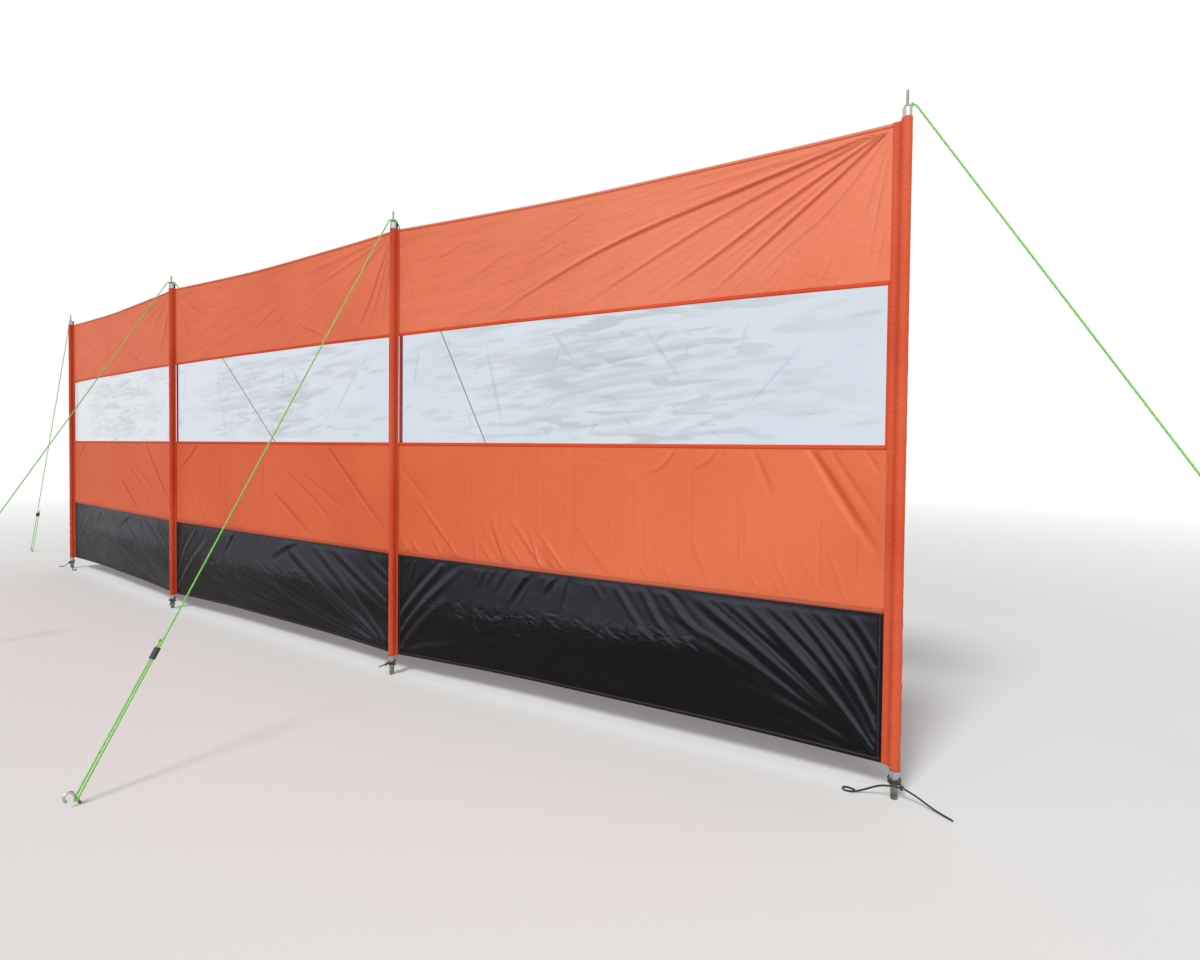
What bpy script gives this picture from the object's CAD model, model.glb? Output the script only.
import random
from math import cos, pi, radians, sin

import bmesh
import bpy
import numpy as np
from mathutils import Matrix, Vector


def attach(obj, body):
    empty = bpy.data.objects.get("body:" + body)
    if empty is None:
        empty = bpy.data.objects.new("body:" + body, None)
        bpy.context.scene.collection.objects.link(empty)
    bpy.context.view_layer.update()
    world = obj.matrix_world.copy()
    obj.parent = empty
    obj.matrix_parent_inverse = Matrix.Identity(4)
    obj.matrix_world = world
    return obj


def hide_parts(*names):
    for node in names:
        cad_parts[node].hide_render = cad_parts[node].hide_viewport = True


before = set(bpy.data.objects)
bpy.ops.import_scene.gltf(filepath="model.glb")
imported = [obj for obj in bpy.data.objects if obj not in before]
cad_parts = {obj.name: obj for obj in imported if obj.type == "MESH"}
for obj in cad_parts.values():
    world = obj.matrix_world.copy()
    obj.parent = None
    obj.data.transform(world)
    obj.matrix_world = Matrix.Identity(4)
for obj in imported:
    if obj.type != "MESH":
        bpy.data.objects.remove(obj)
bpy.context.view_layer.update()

# A beach windbreak of three cloth bays on four steel poles, dressed around its solids.
# Metres, +X along the row to the right, +Y to the back, +Z up, with the origin on the right end pole's foot.
MM = 0.001
scene = bpy.context.scene


# The viewpoint: close to the right end of the row and half as high as it, looking along it to the left.
# The lens is wide, and its axis meets the 1200 x 960 picture a little above the middle.
PICTURE_WIDTH = 1200
LENS_PIXELS = 593.1
AXIS_ABOVE_MIDDLE = 20
SENSOR = 36.0
eye = Vector((0.1026, -1.4345, 0.7585))
yaw, pitch, roll = radians(-30.961), radians(-1.111), radians(0.577)
ahead = Vector((sin(yaw) * cos(pitch), cos(yaw) * cos(pitch), sin(pitch)))
level = Vector((cos(yaw), -sin(yaw), 0))
upright = level.cross(ahead)
right = level * cos(roll) + upright * sin(roll)
up = upright * cos(roll) - level * sin(roll)
camera = bpy.data.objects.new("viewpoint", bpy.data.cameras.new("viewpoint"))
camera.data.sensor_width = SENSOR
camera.data.lens = SENSOR * LENS_PIXELS / PICTURE_WIDTH
camera.data.shift_y = -AXIS_ABOVE_MIDDLE / PICTURE_WIDTH
camera.data.clip_start = 0.01
camera.matrix_world = Matrix.Translation(eye) @ Matrix((right, up, -ahead)).transposed().to_4x4()
scene.collection.objects.link(camera)
scene.camera = camera
scene.view_settings.view_transform = "Standard"


# The studio: a pale floor that fades into a white background, soft light from all round,
# one broad lamp high in front that shows the folds of the cloth, and a weaker one by its near end.
AMBIENT = 0.37
KEY_STRENGTH = 1.8
KEY_SPREAD = radians(14)
KEY_FROM = Vector((-0.08, -0.66, 0.75))
FILL_POWER = 22.0
FILL_SIZE = 1.6
FILL_PLACE, FILL_TARGET = Vector((1.7, -2.6, 2.0)), Vector((-0.6, 0.0, 0.7))
FLOOR_REACH = 40.0
FLOOR_MIDDLE = (-1.8, 0.0, 0.0)
FLOOR_FADES, FLOOR_FADED = 3.0, 9.0


def node(tree, kind, sockets=None, out=0, **settings):
    """Add a shader node, link or set its sockets, and return one of its outputs."""
    made = tree.nodes.new("ShaderNode" + kind)
    for key, value in settings.items():
        setattr(made, key, value)
    for key, value in (sockets or {}).items():
        if isinstance(value, bpy.types.NodeSocket):
            tree.links.new(value, made.inputs[key])
        else:
            made.inputs[key].default_value = value
    return made.outputs[out]


def reckon(tree, operation, first, second, clamp=False):
    """Two values added, multiplied or the like."""
    return node(tree, "Math", {0: first, 1: second}, operation=operation, use_clamp=clamp)


def spread(tree, value, low, high, start=0.0, end=1.0, **settings):
    """A value that runs from start to end, made to run from low to high."""
    ends = {"From Min": start, "From Max": end, "To Min": low, "To Max": high}
    return node(tree, "MapRange", {"Value": value, **ends}, **settings)


def own_place(tree):
    """The places of the piece's own points."""
    return node(tree, "TexCoord", out=3)


def material(name, roughness, metallic=0.0, **sockets):
    """A new finish with its even values set."""
    made = bpy.data.materials.new(name)
    made.use_nodes = True
    shader = made.node_tree.nodes["Principled BSDF"]
    shader.inputs["Roughness"].default_value = roughness
    shader.inputs["Metallic"].default_value = metallic
    for key, value in sockets.items():
        shader.inputs[key.replace("_", " ")].default_value = value
    return made, made.node_tree, shader


def seen_share(tree):
    """One where a ray comes from the camera, a reflection or a clear sheet, and zero where it only lights."""
    rays = tree.nodes.new("ShaderNodeLightPath").outputs
    seen = reckon(tree, "ADD", rays["Is Camera Ray"], rays["Is Glossy Ray"])
    return reckon(tree, "ADD", seen, rays["Is Transmission Ray"], clamp=True)


world = bpy.data.worlds.new("studio")
scene.world = world
world.use_nodes = True
sky = world.node_tree
strength = spread(sky, seen_share(sky), AMBIENT, 1.0)
sky.nodes["Background"].inputs["Color"].default_value = (1, 1, 1, 1)
sky.links.new(strength, sky.nodes["Background"].inputs["Strength"])

key = bpy.data.objects.new("key", bpy.data.lights.new("key", "SUN"))
key.data.energy = KEY_STRENGTH
key.data.angle = KEY_SPREAD
key.rotation_mode = "QUATERNION"
key.rotation_quaternion = KEY_FROM.to_track_quat("Z", "Y")
scene.collection.objects.link(key)

fill = bpy.data.objects.new("fill", bpy.data.lights.new("fill", "AREA"))
fill.data.energy = FILL_POWER
fill.data.size = FILL_SIZE
fill.location = FILL_PLACE
fill.rotation_mode = "QUATERNION"
fill.rotation_quaternion = (FILL_PLACE - FILL_TARGET).to_track_quat("Z", "Y")
scene.collection.objects.link(fill)

floor_mesh = bmesh.new()
bmesh.ops.create_grid(floor_mesh, x_segments=2, y_segments=2, size=FLOOR_REACH)
floor = bpy.data.objects.new("floor", bpy.data.meshes.new("floor"))
floor_mesh.to_mesh(floor.data)
floor_mesh.free()
floor_paint, tree, paint = material(
    "floor_paint", 0.9, Base_Color=(0.86, 0.86, 0.85, 1), Specular_IOR_Level=0.1)
distance = node(tree, "VectorMath", {0: own_place(tree), 1: FLOOR_MIDDLE}, out=1, operation="DISTANCE")
fade = spread(tree, distance, 0.0, 1.0, FLOOR_FADES, FLOOR_FADED)
faded = reckon(tree, "MULTIPLY", fade, seen_share(tree))
white = node(tree, "Emission", {"Strength": 1.0})
mixed = node(tree, "MixShader", {0: faded, 1: paint.outputs[0], 2: white})
tree.links.new(mixed, tree.nodes["Material Output"].inputs["Surface"])
floor.data.materials.append(floor_paint)
scene.collection.objects.link(floor)


# The poles: plated steel tube, 19 mm across, on a thinner spike, with a turned pin on top for the guys.
# They stay as their solids are. The plating is dull, streaked along the tube and soiled at the ground.
def ramp(tree, factor, *stops):
    """A colour that runs through stops, each a place from 0 to 1 and a colour."""
    made = tree.nodes.new("ShaderNodeValToRGB")
    tree.links.new(factor, made.inputs[0])
    band = made.color_ramp.elements
    while len(band) < len(stops):
        band.new(0.5)
    for stop, (place, colour) in zip(band, stops):
        stop.position = place
        stop.color = (*colour, 1)
    return made.outputs[0]


def noise(tree, scale, detail=3.0, stretch=(1, 1, 1), distortion=0.0):
    """Clouds of a size, longer along the axes whose stretch is small."""
    spot = node(tree, "Mapping", {"Vector": own_place(tree), "Scale": stretch})
    sockets = {"Vector": spot, "Scale": scale, "Detail": detail, "Distortion": distortion}
    return node(tree, "TexNoise", sockets)


def bump(tree, height, distance, strength, under=None):
    """A bump map, laid over another one where that is given."""
    sockets = {"Height": height, "Distance": distance, "Strength": strength}
    if under is not None:
        sockets["Normal"] = under
    return node(tree, "Bump", sockets)


def height_share(tree, low, high):
    """Runs from 0 to 1 between two heights above the ground."""
    heights = node(tree, "SeparateXYZ", {0: own_place(tree)}, out=2)
    return spread(tree, heights, 0.0, 1.0, low, high)


def mix(tree, factor, first, second):
    """A colour between two."""
    return node(tree, "MixRGB", {"Fac": factor, "Color1": first, "Color2": second})


def connect(tree, shader, **inputs):
    """Link values to a finish's own inputs."""
    for name, value in inputs.items():
        tree.links.new(value, shader.inputs[name.replace("_", " ")])


def plated_steel(name, dark, light):
    """Dull plating, streaked along the tube and soiled at the ground."""
    made, tree, shader = material(name, 0.34, metallic=1.0)
    streaks = noise(tree, 220, 4, stretch=(1, 1, 0.03))
    bright = ramp(tree, streaks, (0.3, dark), (0.7, light))
    soil = ramp(tree, noise(tree, 120, 5), (0.35, (0.10, 0.105, 0.07)), (0.65, (0.26, 0.27, 0.22)))
    colour = mix(tree, height_share(tree, 0.01, 0.055), soil, bright)
    pitted = bump(tree, noise(tree, 400, 3), 0.0002, 0.2)
    connect(tree, shader, Base_Color=colour, Roughness=spread(tree, streaks, 0.26, 0.46), Normal=pitted)
    return made


def refinish(node_name, finish):
    """Give a solid that stays as it is a better finish."""
    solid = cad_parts[node_name].data
    solid.materials.clear()
    solid.materials.append(finish)


POLES = ("right_end", "right_inner", "left_inner", "left_end")
tube_steel = plated_steel("tube_steel", (0.36, 0.37, 0.37), (0.58, 0.59, 0.58))
pin_steel = plated_steel("pin_steel", (0.20, 0.20, 0.20), (0.36, 0.36, 0.35))
for pole in POLES:
    refinish(f"pole_{pole}", tube_steel)
    refinish(f"guy_pin_{pole}", pin_steel)


# The row: bays 1.5 m wide that turn back by 4 degrees at each inner pole.
# Each pole and each bay has a place of its own, which its cloth and fittings are made in.
BAY_WIDTH = 1.5
BAY_TURN = 4.0
BAY_HEADINGS = {"right": BAY_TURN, "middle": 0.0, "left": -BAY_TURN}
POLE_HEADINGS = dict(zip(POLES, (BAY_TURN, BAY_TURN / 2, -BAY_TURN / 2, -BAY_TURN)))
feet = [Vector((0, 0, 0))]
for heading in BAY_HEADINGS.values():
    feet.append(feet[-1] - Vector((cos(radians(heading)), sin(radians(heading)), 0)) * BAY_WIDTH)


def place_at(foot, heading):
    """A place on the ground, turned about the vertical by degrees."""
    return Matrix.Translation(foot) @ Matrix.Rotation(radians(heading), 4, "Z")


pole_places = {pole: place_at(foot, POLE_HEADINGS[pole]) for pole, foot in zip(POLES, feet)}
bay_places = {bay: place_at(foot, turn) for (bay, turn), foot in zip(BAY_HEADINGS.items(), feet)}


# The sleeves: strips of doubled orange cloth, deeper in colour than the bands, folded over the poles.
# An inner one is sewn to the front of the cloth on both sides, an end one to both faces of the cloth's end.
SLEEVE_LOW, SLEEVE_HIGH = 0.063, 1.473
SLEEVE_ROWS = 260
SLEEVE_THICKNESS = 0.9 * MM
TUNNEL = 10.3
FRONT_FLANGE, BACK_FLANGE = 9.3, 11.5
FOOT_SLOPE = 4.0 * MM
SLACK_BELOW, SLACK_RUN = 0.62, 0.4
# Puckers: their height, their pitch up the pole and round it, and how far and how often they waver.
SLEEVE_PUCKERS = ((1.0, 0.058, 0.07, 1.6, 29), (0.6, 0.031, -0.09, -1.7, -47))


def grid_sheet(bm, columns, rows, shape):
    """A sheet of square cells laid out by shape(u, v), which gives points for shares from 0 to 1."""
    verts = bmesh.ops.create_grid(bm, x_segments=columns, y_segments=rows, size=1)["verts"]
    flat = np.array([vert.co for vert in verts])
    shares = (flat - flat.min(0))[:, :2] / (flat.max(0) - flat.min(0))[:2]
    for vert, spot in zip(verts, shape(shares[:, 0], shares[:, 1])):
        vert.co = spot
    return verts


def add_piece(bm, name, finish, slot, *replaced, thickness=0.0):
    """Make a mesh a piece of the windbreak, with its cloth's thickness where it has one."""
    made = bpy.data.objects.new(name, bpy.data.meshes.new(name))
    bm.to_mesh(made.data)
    bm.free()
    made.data.shade_smooth()
    made.data.materials.append(finish)
    scene.collection.objects.link(made)
    if thickness:
        wall = made.modifiers.new("cloth", "SOLIDIFY")
        wall.thickness = thickness
        wall.offset = 0.0
    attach(made, "root")
    if replaced:
        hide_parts(*replaced)
    return made


def smooth_step(share):
    """Runs smoothly from 0 to 1."""
    share = np.clip(share, 0, 1)
    return share * share * (3 - 2 * share)


def put(place, points):
    """Points of a pole's or bay's own place, in the row's frame."""
    turn = np.array(place)
    return points @ turn[:3, :3].T + turn[:3, 3]


def hump():
    """The part of a sleeve's section that goes round the front of the pole, from left to right."""
    side = [(-12.9, 9.2), (-11.3, 8.6), (-10.5, 7.2), (-TUNNEL, 5.0), (-TUNNEL, 2.5)]
    arc = [(TUNNEL * cos(radians(a)), TUNNEL * sin(radians(a))) for a in range(180, 361, 12)]
    return side, arc


def inner_section():
    """A strip that lies on the cloth at both sides of the pole."""
    side, arc = hump()
    edge = [(-17.4, FRONT_FLANGE), (-16.0, FRONT_FLANGE), (-14.5, FRONT_FLANGE)]
    left = edge + side
    return left + arc + [(-x, y) for x, y in reversed(left)]


def end_section():
    """A strip round the pole whose two edges take the cloth's end between them."""
    side, arc = hump()
    front = [(-26.8 + 3.4 * i, FRONT_FLANGE) for i in range(5)]
    turn = [(TUNNEL, 3.0), (TUNNEL, 6.5), (10.2, 9.6), (9.6, 11.0), (8.2, BACK_FLANGE)]
    back = [(5.0 - 5.3 * i, BACK_FLANGE) for i in range(7)]
    return front + side + arc + turn + back


def gone_along(line):
    """How far along a line each of its points is."""
    return np.concatenate(([0], np.cumsum(np.linalg.norm(np.diff(line, axis=0), axis=1))))


def sleeve(pole, section, mirrored):
    """One sleeve, puckered on slanting lines where it goes round the pole, most of all near its foot."""
    section = np.array(section) * MM
    along = np.gradient(section, axis=0)
    outward = np.stack([along[:, 1], -along[:, 0]], 1) / np.hypot(*along.T)[:, None]
    run = gone_along(section)
    last = len(section) - 1
    phase = POLES.index(pole) * 1.7
    behind = section[:, 1] > FRONT_FLANGE * MM + 0.001
    sewn = np.maximum(smooth_step((np.abs(section[:, 0]) - 0.0105) / 0.003), behind)

    def shape(u, v):
        index = np.rint(u * last).astype(int)
        foot = SLEEVE_LOW + FOOT_SLOPE * smooth_step((-0.006 - section[index, 0]) / 0.018)
        z = foot + (SLEEVE_HIGH - foot) * v
        slack = 0.25 + 0.75 * smooth_step((SLACK_BELOW - z) / SLACK_RUN) + 0.2 * np.sin(z * 9 + phase)
        pucker = np.zeros(z.shape)
        for height, up_pitch, round_pitch, waver, often in SLEEVE_PUCKERS:
            slant = 2 * pi * (z / up_pitch + run[index] / round_pitch) + waver * np.sin(z * often + phase)
            pucker += height * (0.5 + 0.5 * np.sin(slant)) ** 2
        loose = slack * (1 - 0.85 * sewn[index])
        spot = section[index] + outward[index] * (MM * loose * pucker)[:, None]
        side = -1 if mirrored else 1
        return put(pole_places[pole], np.stack([side * spot[:, 0], spot[:, 1], z], 1))

    bm = bmesh.new()
    grid_sheet(bm, last, SLEEVE_ROWS, shape)
    if mirrored:
        bmesh.ops.reverse_faces(bm, faces=bm.faces)
    made = add_piece(bm, f"sleeve_cloth_{pole}", sleeve_finish, "sleeve_cloth", f"sleeve_{pole}",
                     thickness=SLEEVE_THICKNESS)
    return made, (run[-1], SLEEVE_HIGH - SLEEVE_LOW)


def ribs(tree, pitch, direction):
    """Even ridges a pitch apart, as a height."""
    sockets = {"Vector": own_place(tree), "Scale": 2 * pi / (20 * pitch)}
    return node(tree, "TexWave", sockets, out=1, bands_direction=direction)


def weave(tree, pitch):
    """The over-and-under of crossing threads, as a height."""
    return reckon(tree, "MAXIMUM", ribs(tree, pitch, "X"), ribs(tree, pitch, "Z"))


def drag_lines(tree, under):
    """Fine lines that fan out of a pulled corner, laid over another bump."""
    pull = node(tree, "Attribute", out=1, attribute_name="pull")
    fanned = node(tree, "Mapping", {"Vector": pull, "Scale": (34.0, 5.0, 0.0)})
    lines = node(tree, "TexNoise", {"Vector": fanned, "Scale": 1.0, "Detail": 1.0})
    strength = node(tree, "SeparateXYZ", {0: pull}, out=2)
    return bump(tree, reckon(tree, "MULTIPLY", lines, strength), 0.01, 0.7, under=under)


def attribute(tree, name):
    """A value that the piece's points carry."""
    return node(tree, "Attribute", out=2, attribute_name=name)


UNFADED = (0.95, 0.78, 0.70, 1)
FADE_STARTS, FADE_ENDS = -0.65, -1.95


def cloth_finish(name, dark, light, deep, roughness, crease_depth, specular=0.07, crumpled=None):
    """Coated woven cloth: clouded colour, deeper along its creases, with its weave and small wrinkles.

    The row is a little faded at its right end. Cloth that is also crumpled gives how its crumples
    are stretched.
    """
    made, tree, shader = material(name, roughness, Specular_IOR_Level=specular, Sheen_Weight=0.02)
    cloud = noise(tree, 2.6, 5, distortion=0.4)
    fleck = noise(tree, 900, 2, stretch=(1, 1, 0.3))
    plain = ramp(tree, cloud, (0.32, dark), (0.68, light))
    flecked = mix(tree, spread(tree, fleck, 0.0, 0.16), plain, (*dark, 1))
    folded = reckon(tree, "MULTIPLY", attribute(tree, "crease"), crease_depth, clamp=True)
    raised = reckon(tree, "MULTIPLY", attribute(tree, "crest"), crease_depth * 0.6, clamp=True)
    pale = [min(1.0, channel * 1.3 + 0.02) for channel in light]
    crested = mix(tree, raised, flecked, (*pale, 1))
    creased = mix(tree, folded, crested, (*deep, 1))
    along_row = node(tree, "SeparateXYZ", {0: own_place(tree)}, out=0)
    unfaded = spread(tree, along_row, 0.0, 1.0, FADE_STARTS, FADE_ENDS, interpolation_type="SMOOTHSTEP")
    colours = {"Fac": unfaded, "Color1": creased, "Color2": UNFADED}
    fresh = node(tree, "MixRGB", colours, blend_type="MULTIPLY")
    rough = spread(tree, cloud, roughness - 0.06, roughness + 0.08)
    wrinkles = bump(tree, noise(tree, 26, 4, distortion=1.2), 0.004, 0.26)
    if crumpled:
        crumples = noise(tree, 70, 4, stretch=crumpled, distortion=1.4)
        wrinkles = bump(tree, crumples, 0.005, 0.5, under=wrinkles)
    threads = bump(tree, weave(tree, 1.3 * MM), 0.0002, 0.25, under=drag_lines(tree, wrinkles))
    connect(tree, shader, Base_Color=fresh, Roughness=rough, Normal=threads)
    return made


sleeve_finish = cloth_finish(
    "sleeve_polyester", (0.625, 0.087, 0.033), (0.725, 0.136, 0.059), (0.40, 0.03, 0.01), 0.5, 0.5,
    crumpled=(0.5, 0.5, 1.3))
sleeves = {
    "right_end": sleeve("right_end", end_section(), False),
    "right_inner": sleeve("right_inner", inner_section(), False),
    "left_inner": sleeve("left_inner", inner_section(), False),
    "left_end": sleeve("left_end", end_section(), True),
}


# The cloth of a bay: one flat cut from the ground gap to the top edge, sewn up from four bands.
# Its seams bow a little between the poles, and the pull at its corners sets the folds that follow.
SEAMS = np.array((0.066, 0.400, 0.771, 1.123, 1.473))
CLOTH_FOOT, WALL_TOP, SILL, LINTEL, CLOTH_TOP = SEAMS
SEAM_BOWS = np.array((0.012, 0.0, 0.0, 0.006, -0.014))
CLOTH_MIDDLE = 10.4 * MM
INSET = 0.584 * MM
BAY_ENDS = {
    "right": (INSET - BAY_WIDTH, 9.5 * MM),
    "middle": (INSET - BAY_WIDTH, -INSET),
    "left": (-BAY_WIDTH - 9.5 * MM, -INSET),
}
BELLY, BELLY_SHARE, BELLY_TURN = 0.014, 0.56, 8.0
INNER_FLANGE, END_FLANGE = 18.1 * MM, 36.4 * MM
FLANGES = {
    "right": (INNER_FLANGE, END_FLANGE),
    "middle": (INNER_FLANGE, INNER_FLANGE),
    "left": (END_FLANGE, INNER_FLANGE),
}
CELL = {"right": 3.8 * MM, "middle": 6.0 * MM, "left": 9.0 * MM}
WALL_CELL = {"right": 3.5 * MM, "middle": 4.6 * MM, "left": 7.0 * MM}
SEAM_FLAT, FOLD_EASE, SLEEVE_EASE = 8.0 * MM, 14.0 * MM, 13.0 * MM
HOLLOW = 6.0 * MM
SWAY, SWAY_ALONG, SWAY_UP = 2.2 * MM, 7.3, 3.1

# Folds, in millimetres from the bay's right pole and the ground: a line, a width and a height.
# The first list fans out of the top corner by the right end pole.
END_TOP_FOLDS = [
    (((-29, 1470), (-331, 1408), (-661, 1335), (-867, 1262), (-1140, 1132)), 6.8, 3.3),
    (((-30, 1468), (-295, 1386), (-512, 1298), (-790, 1164)), 6.4, 2.3),
    (((-30, 1468), (-244, 1356), (-390, 1260), (-588, 1146)), 6.2, 3.0),
    (((-29, 1467), (-197, 1336), (-333, 1226), (-436, 1142)), 5.8, 3.0),
    (((-45, 1468), (-246, 1444), (-514, 1430)), 7.7, 0.96),
    (((-30, 1462), (-420, 1390), (-700, 1352)), 7, 0.78),
    (((-30, 1460), (-153, 1306), (-243, 1243), (-358, 1146)), 5.1, 0.9),
    (((-29, 1462), (-73, 1324), (-94, 1230)), 3.8, 0.9),
    (((-29, 1440), (-48, 1338), (-80, 1142)), 3.8, 1.08),
    (((-31, 1465), (-280, 1300), (-490, 1170)), 4.5, 0.9),
    (((-150, 1196), (-174, 1140)), 4.5, 0.78),
    (((-250, 1210), (-306, 1144)), 4.5, 0.84),
    (((-40, 1250), (-60, 1142)), 3.8, 0.72),
    (((-780, 1428), (-976, 1350)), 5.8, 0.72),
    (((-850, 1355), (-1018, 1286)), 5.8, 0.72),
    (((-1040, 1349), (-1180, 1283)), 6.4, 0.72),
    (((-1200, 1403), (-1400, 1333)), 7.7, 0.54),
    (((-1474, 1443), (-1440, 1303), (-1420, 1150)), 6.4, 0.66),
]
INNER_TOP_FOLDS = [
    (((-22, 1468), (-190, 1416), (-420, 1356)), 6.8, 1.3),
    (((-22, 1467), (-130, 1402), (-300, 1294)), 6, 1.44),
    (((-21, 1462), (-84, 1350), (-139, 1243), (-218, 1140)), 5.6, 2.16),
    (((-21, 1452), (-60, 1343), (-100, 1243), (-154, 1140)), 5.2, 1.58),
    (((-20, 1440), (-50, 1293), (-74, 1142)), 4.9, 1.3),
    (((-392, 1163), (-555, 1225)), 6.8, 1.44),
    (((-24, 1470), (-260, 1436), (-560, 1404)), 9, 1.01),
    (((-700, 1303), (-860, 1225)), 7.5, 0.86),
    (((-1478, 1456), (-1300, 1344), (-1120, 1293)), 8.2, 1.15),
    (((-1478, 1450), (-1400, 1293), (-1350, 1160)), 6.8, 1.15),
]
# Folding creases, drag lines and one deep fold in the lower band.
END_MIDDLE_FOLDS = [
    (((-821, 768), (-819, 404)), 4, 0.91),
    (((-924, 720), (-922, 470)), 4.5, 0.63),
    (((-477, 724), (-474, 410)), 4, 0.84),
    (((-358, 664), (-354, 404)), 4.5, 0.77),
    (((-165, 604), (-163, 408)), 4.5, 0.7),
    (((-1188, 704), (-1186, 416)), 5, 0.63),
    (((-1010, 760), (-1006, 560)), 5, 0.56),
    (((-640, 700), (-638, 430)), 5, 0.49),
    (((-196, 768), (-168, 728), (-115, 638), (-34, 514)), 14, 3.9),
    (((-150, 768), (-104, 690), (-34, 586)), 10, 1.6),
    (((-322, 760), (-271, 640)), 10, 1.3),
    (((-516, 768), (-556, 712), (-604, 694)), 7, 1.1),
    (((-406, 768), (-436, 726), (-478, 712)), 7, 1.0),
    (((-820, 722), (-555, 717)), 4.5, 1.0),
    (((-1478, 712), (-1240, 715)), 4.5, 1.0),
    (((-1478, 690), (-1330, 560)), 10, 1.2),
    (((-74, 764), (-34, 696)), 7, 1.4),
]
INNER_MIDDLE_FOLDS = [
    (((-372, 760), (-338, 727), (-190, 596), (-22, 448)), 7, 2.8),
    (((-710, 572), (-653, 537), (-440, 404)), 9, 2.4),
    (((-520, 648), (-454, 617), (-230, 514)), 9, 1.4),
    (((-640, 660), (-380, 520), (-290, 410)), 9, 1.6),
    (((-790, 740), (-788, 420)), 6, 1.0),
    (((-1120, 740), (-1118, 420)), 6, 1.0),
    (((-1300, 764), (-1470, 640)), 11, 1.6),
]
# Broad folds out of the bottom corners of the mud wall.
END_BOTTOM_FOLDS = [
    (((-29, 74), (-173, 186), (-314, 288), (-389, 333), (-480, 398)), 11.5, 3.7),
    (((-29, 78), (-130, 181), (-214, 265), (-296, 324), (-400, 398)), 10, 2.8),
    (((-29, 82), (-125, 196), (-225, 297), (-348, 398)), 10.5, 3.6),
    (((-29, 96), (-100, 214), (-176, 301), (-292, 398)), 9, 3.1),
    (((-29, 118), (-70, 202), (-139, 301), (-228, 398)), 8.5, 2.9),
    (((-29, 168), (-84, 297), (-182, 398)), 8.5, 2.5),
    (((-29, 282), (-62, 345), (-102, 398)), 8, 2.0),
    (((-29, 74), (-190, 166), (-370, 262), (-560, 350)), 9, 1.6),
    (((-29, 76), (-152, 184), (-266, 278), (-438, 398)), 5.5, 1.2),
    (((-29, 80), (-128, 189), (-222, 282), (-374, 398)), 5, 1.0),
    (((-29, 90), (-112, 205), (-202, 300), (-320, 398)), 5, 1.1),
    (((-29, 106), (-84, 207), (-158, 301), (-260, 398)), 5, 1.0),
    (((-29, 142), (-76, 250), (-160, 350), (-206, 398)), 5, 1.0),
    (((-29, 225), (-72, 320), (-142, 398)), 5, 0.9),
    (((-29, 72), (-173, 126), (-293, 163), (-440, 196)), 14, 1.9),
    (((-642, 452), (-556, 298), (-490, 240)), 10, 1.8),
    (((-728, 452), (-640, 326), (-580, 256)), 9, 1.4),
    (((-599, 452), (-480, 315), (-410, 256)), 10, 1.8),
    (((-797, 452), (-720, 340)), 8, 1.0),
    (((-921, 452), (-1046, 278)), 9, 1.3),
    (((-830, 452), (-920, 330)), 9, 1.0),
    (((-1476, 74), (-1410, 150), (-1330, 226), (-1250, 290)), 16, 2.0),
    (((-1478, 184), (-1440, 232), (-1350, 322), (-1276, 398)), 11, 2.4),
    (((-1478, 128), (-1420, 196), (-1310, 300), (-1196, 398)), 12, 2.2),
    (((-1476, 72), (-1330, 112), (-1180, 140)), 16, 1.1),
]
INNER_BOTTOM_FOLDS = [
    (((-22, 76), (-120, 120), (-294, 201), (-648, 388)), 14, 3.5),
    (((-22, 84), (-120, 164), (-260, 277), (-462, 396)), 12, 3.3),
    (((-22, 72), (-180, 96), (-381, 127), (-643, 200), (-820, 266)), 14, 2.6),
    (((-22, 222), (-157, 295), (-352, 396)), 12, 2.9),
    (((-22, 312), (-134, 378)), 10, 2.0),
    (((-450, 448), (-730, 312)), 12, 1.4),
    (((-1478, 82), (-1380, 186), (-1190, 350)), 13, 2.5),
    (((-1478, 120), (-1400, 276), (-1292, 396)), 11, 2.5),
    (((-960, 448), (-1074, 282)), 10, 1.5),
]
# Each bay's folds, band by band from the ground up. The windows have ripples of their own.
BAY_FOLDS = {
    "right": (END_BOTTOM_FOLDS, END_MIDDLE_FOLDS, [], END_TOP_FOLDS),
    "middle": (INNER_BOTTOM_FOLDS, INNER_MIDDLE_FOLDS, [], INNER_TOP_FOLDS),
    "left": (INNER_BOTTOM_FOLDS, INNER_MIDDLE_FOLDS, [], INNER_TOP_FOLDS),
}
chance = random.Random(11)


def seam_puckers(level, direction, count, reach, lean, width, height):
    """Short drag lines that a seam's thread pulls into the cloth beside it."""
    puckers = []
    for i in range(count):
        x = -1470 + 1430 * chance.random() ** 1.3
        length = reach * (0.25 + 1.1 * chance.random() ** 2)
        slide = lean * length * chance.uniform(0.1, 1.5)
        far = (x - slide, level + direction * length)
        drag = height * chance.uniform(0.25, 1.1) * (1.0 if x < -800 else 0.35)
        puckers.append((((x, level - 12 * direction), far), width * chance.uniform(0.6, 1.1), drag))
    return puckers


def upright_creases(count):
    """Faint upright marks from the way the cloth is folded up in its bag."""
    marks = []
    for i in range(count):
        x = -1450 + 1400 * (i + chance.uniform(0.2, 0.8)) / count
        foot = chance.uniform(410, 560)
        head = foot + chance.uniform(90, 200)
        line = ((x, foot), (x + chance.uniform(-14, 14), head))
        marks.append((line, chance.uniform(4, 7), chance.uniform(0.25, 0.6)))
    return marks


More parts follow.
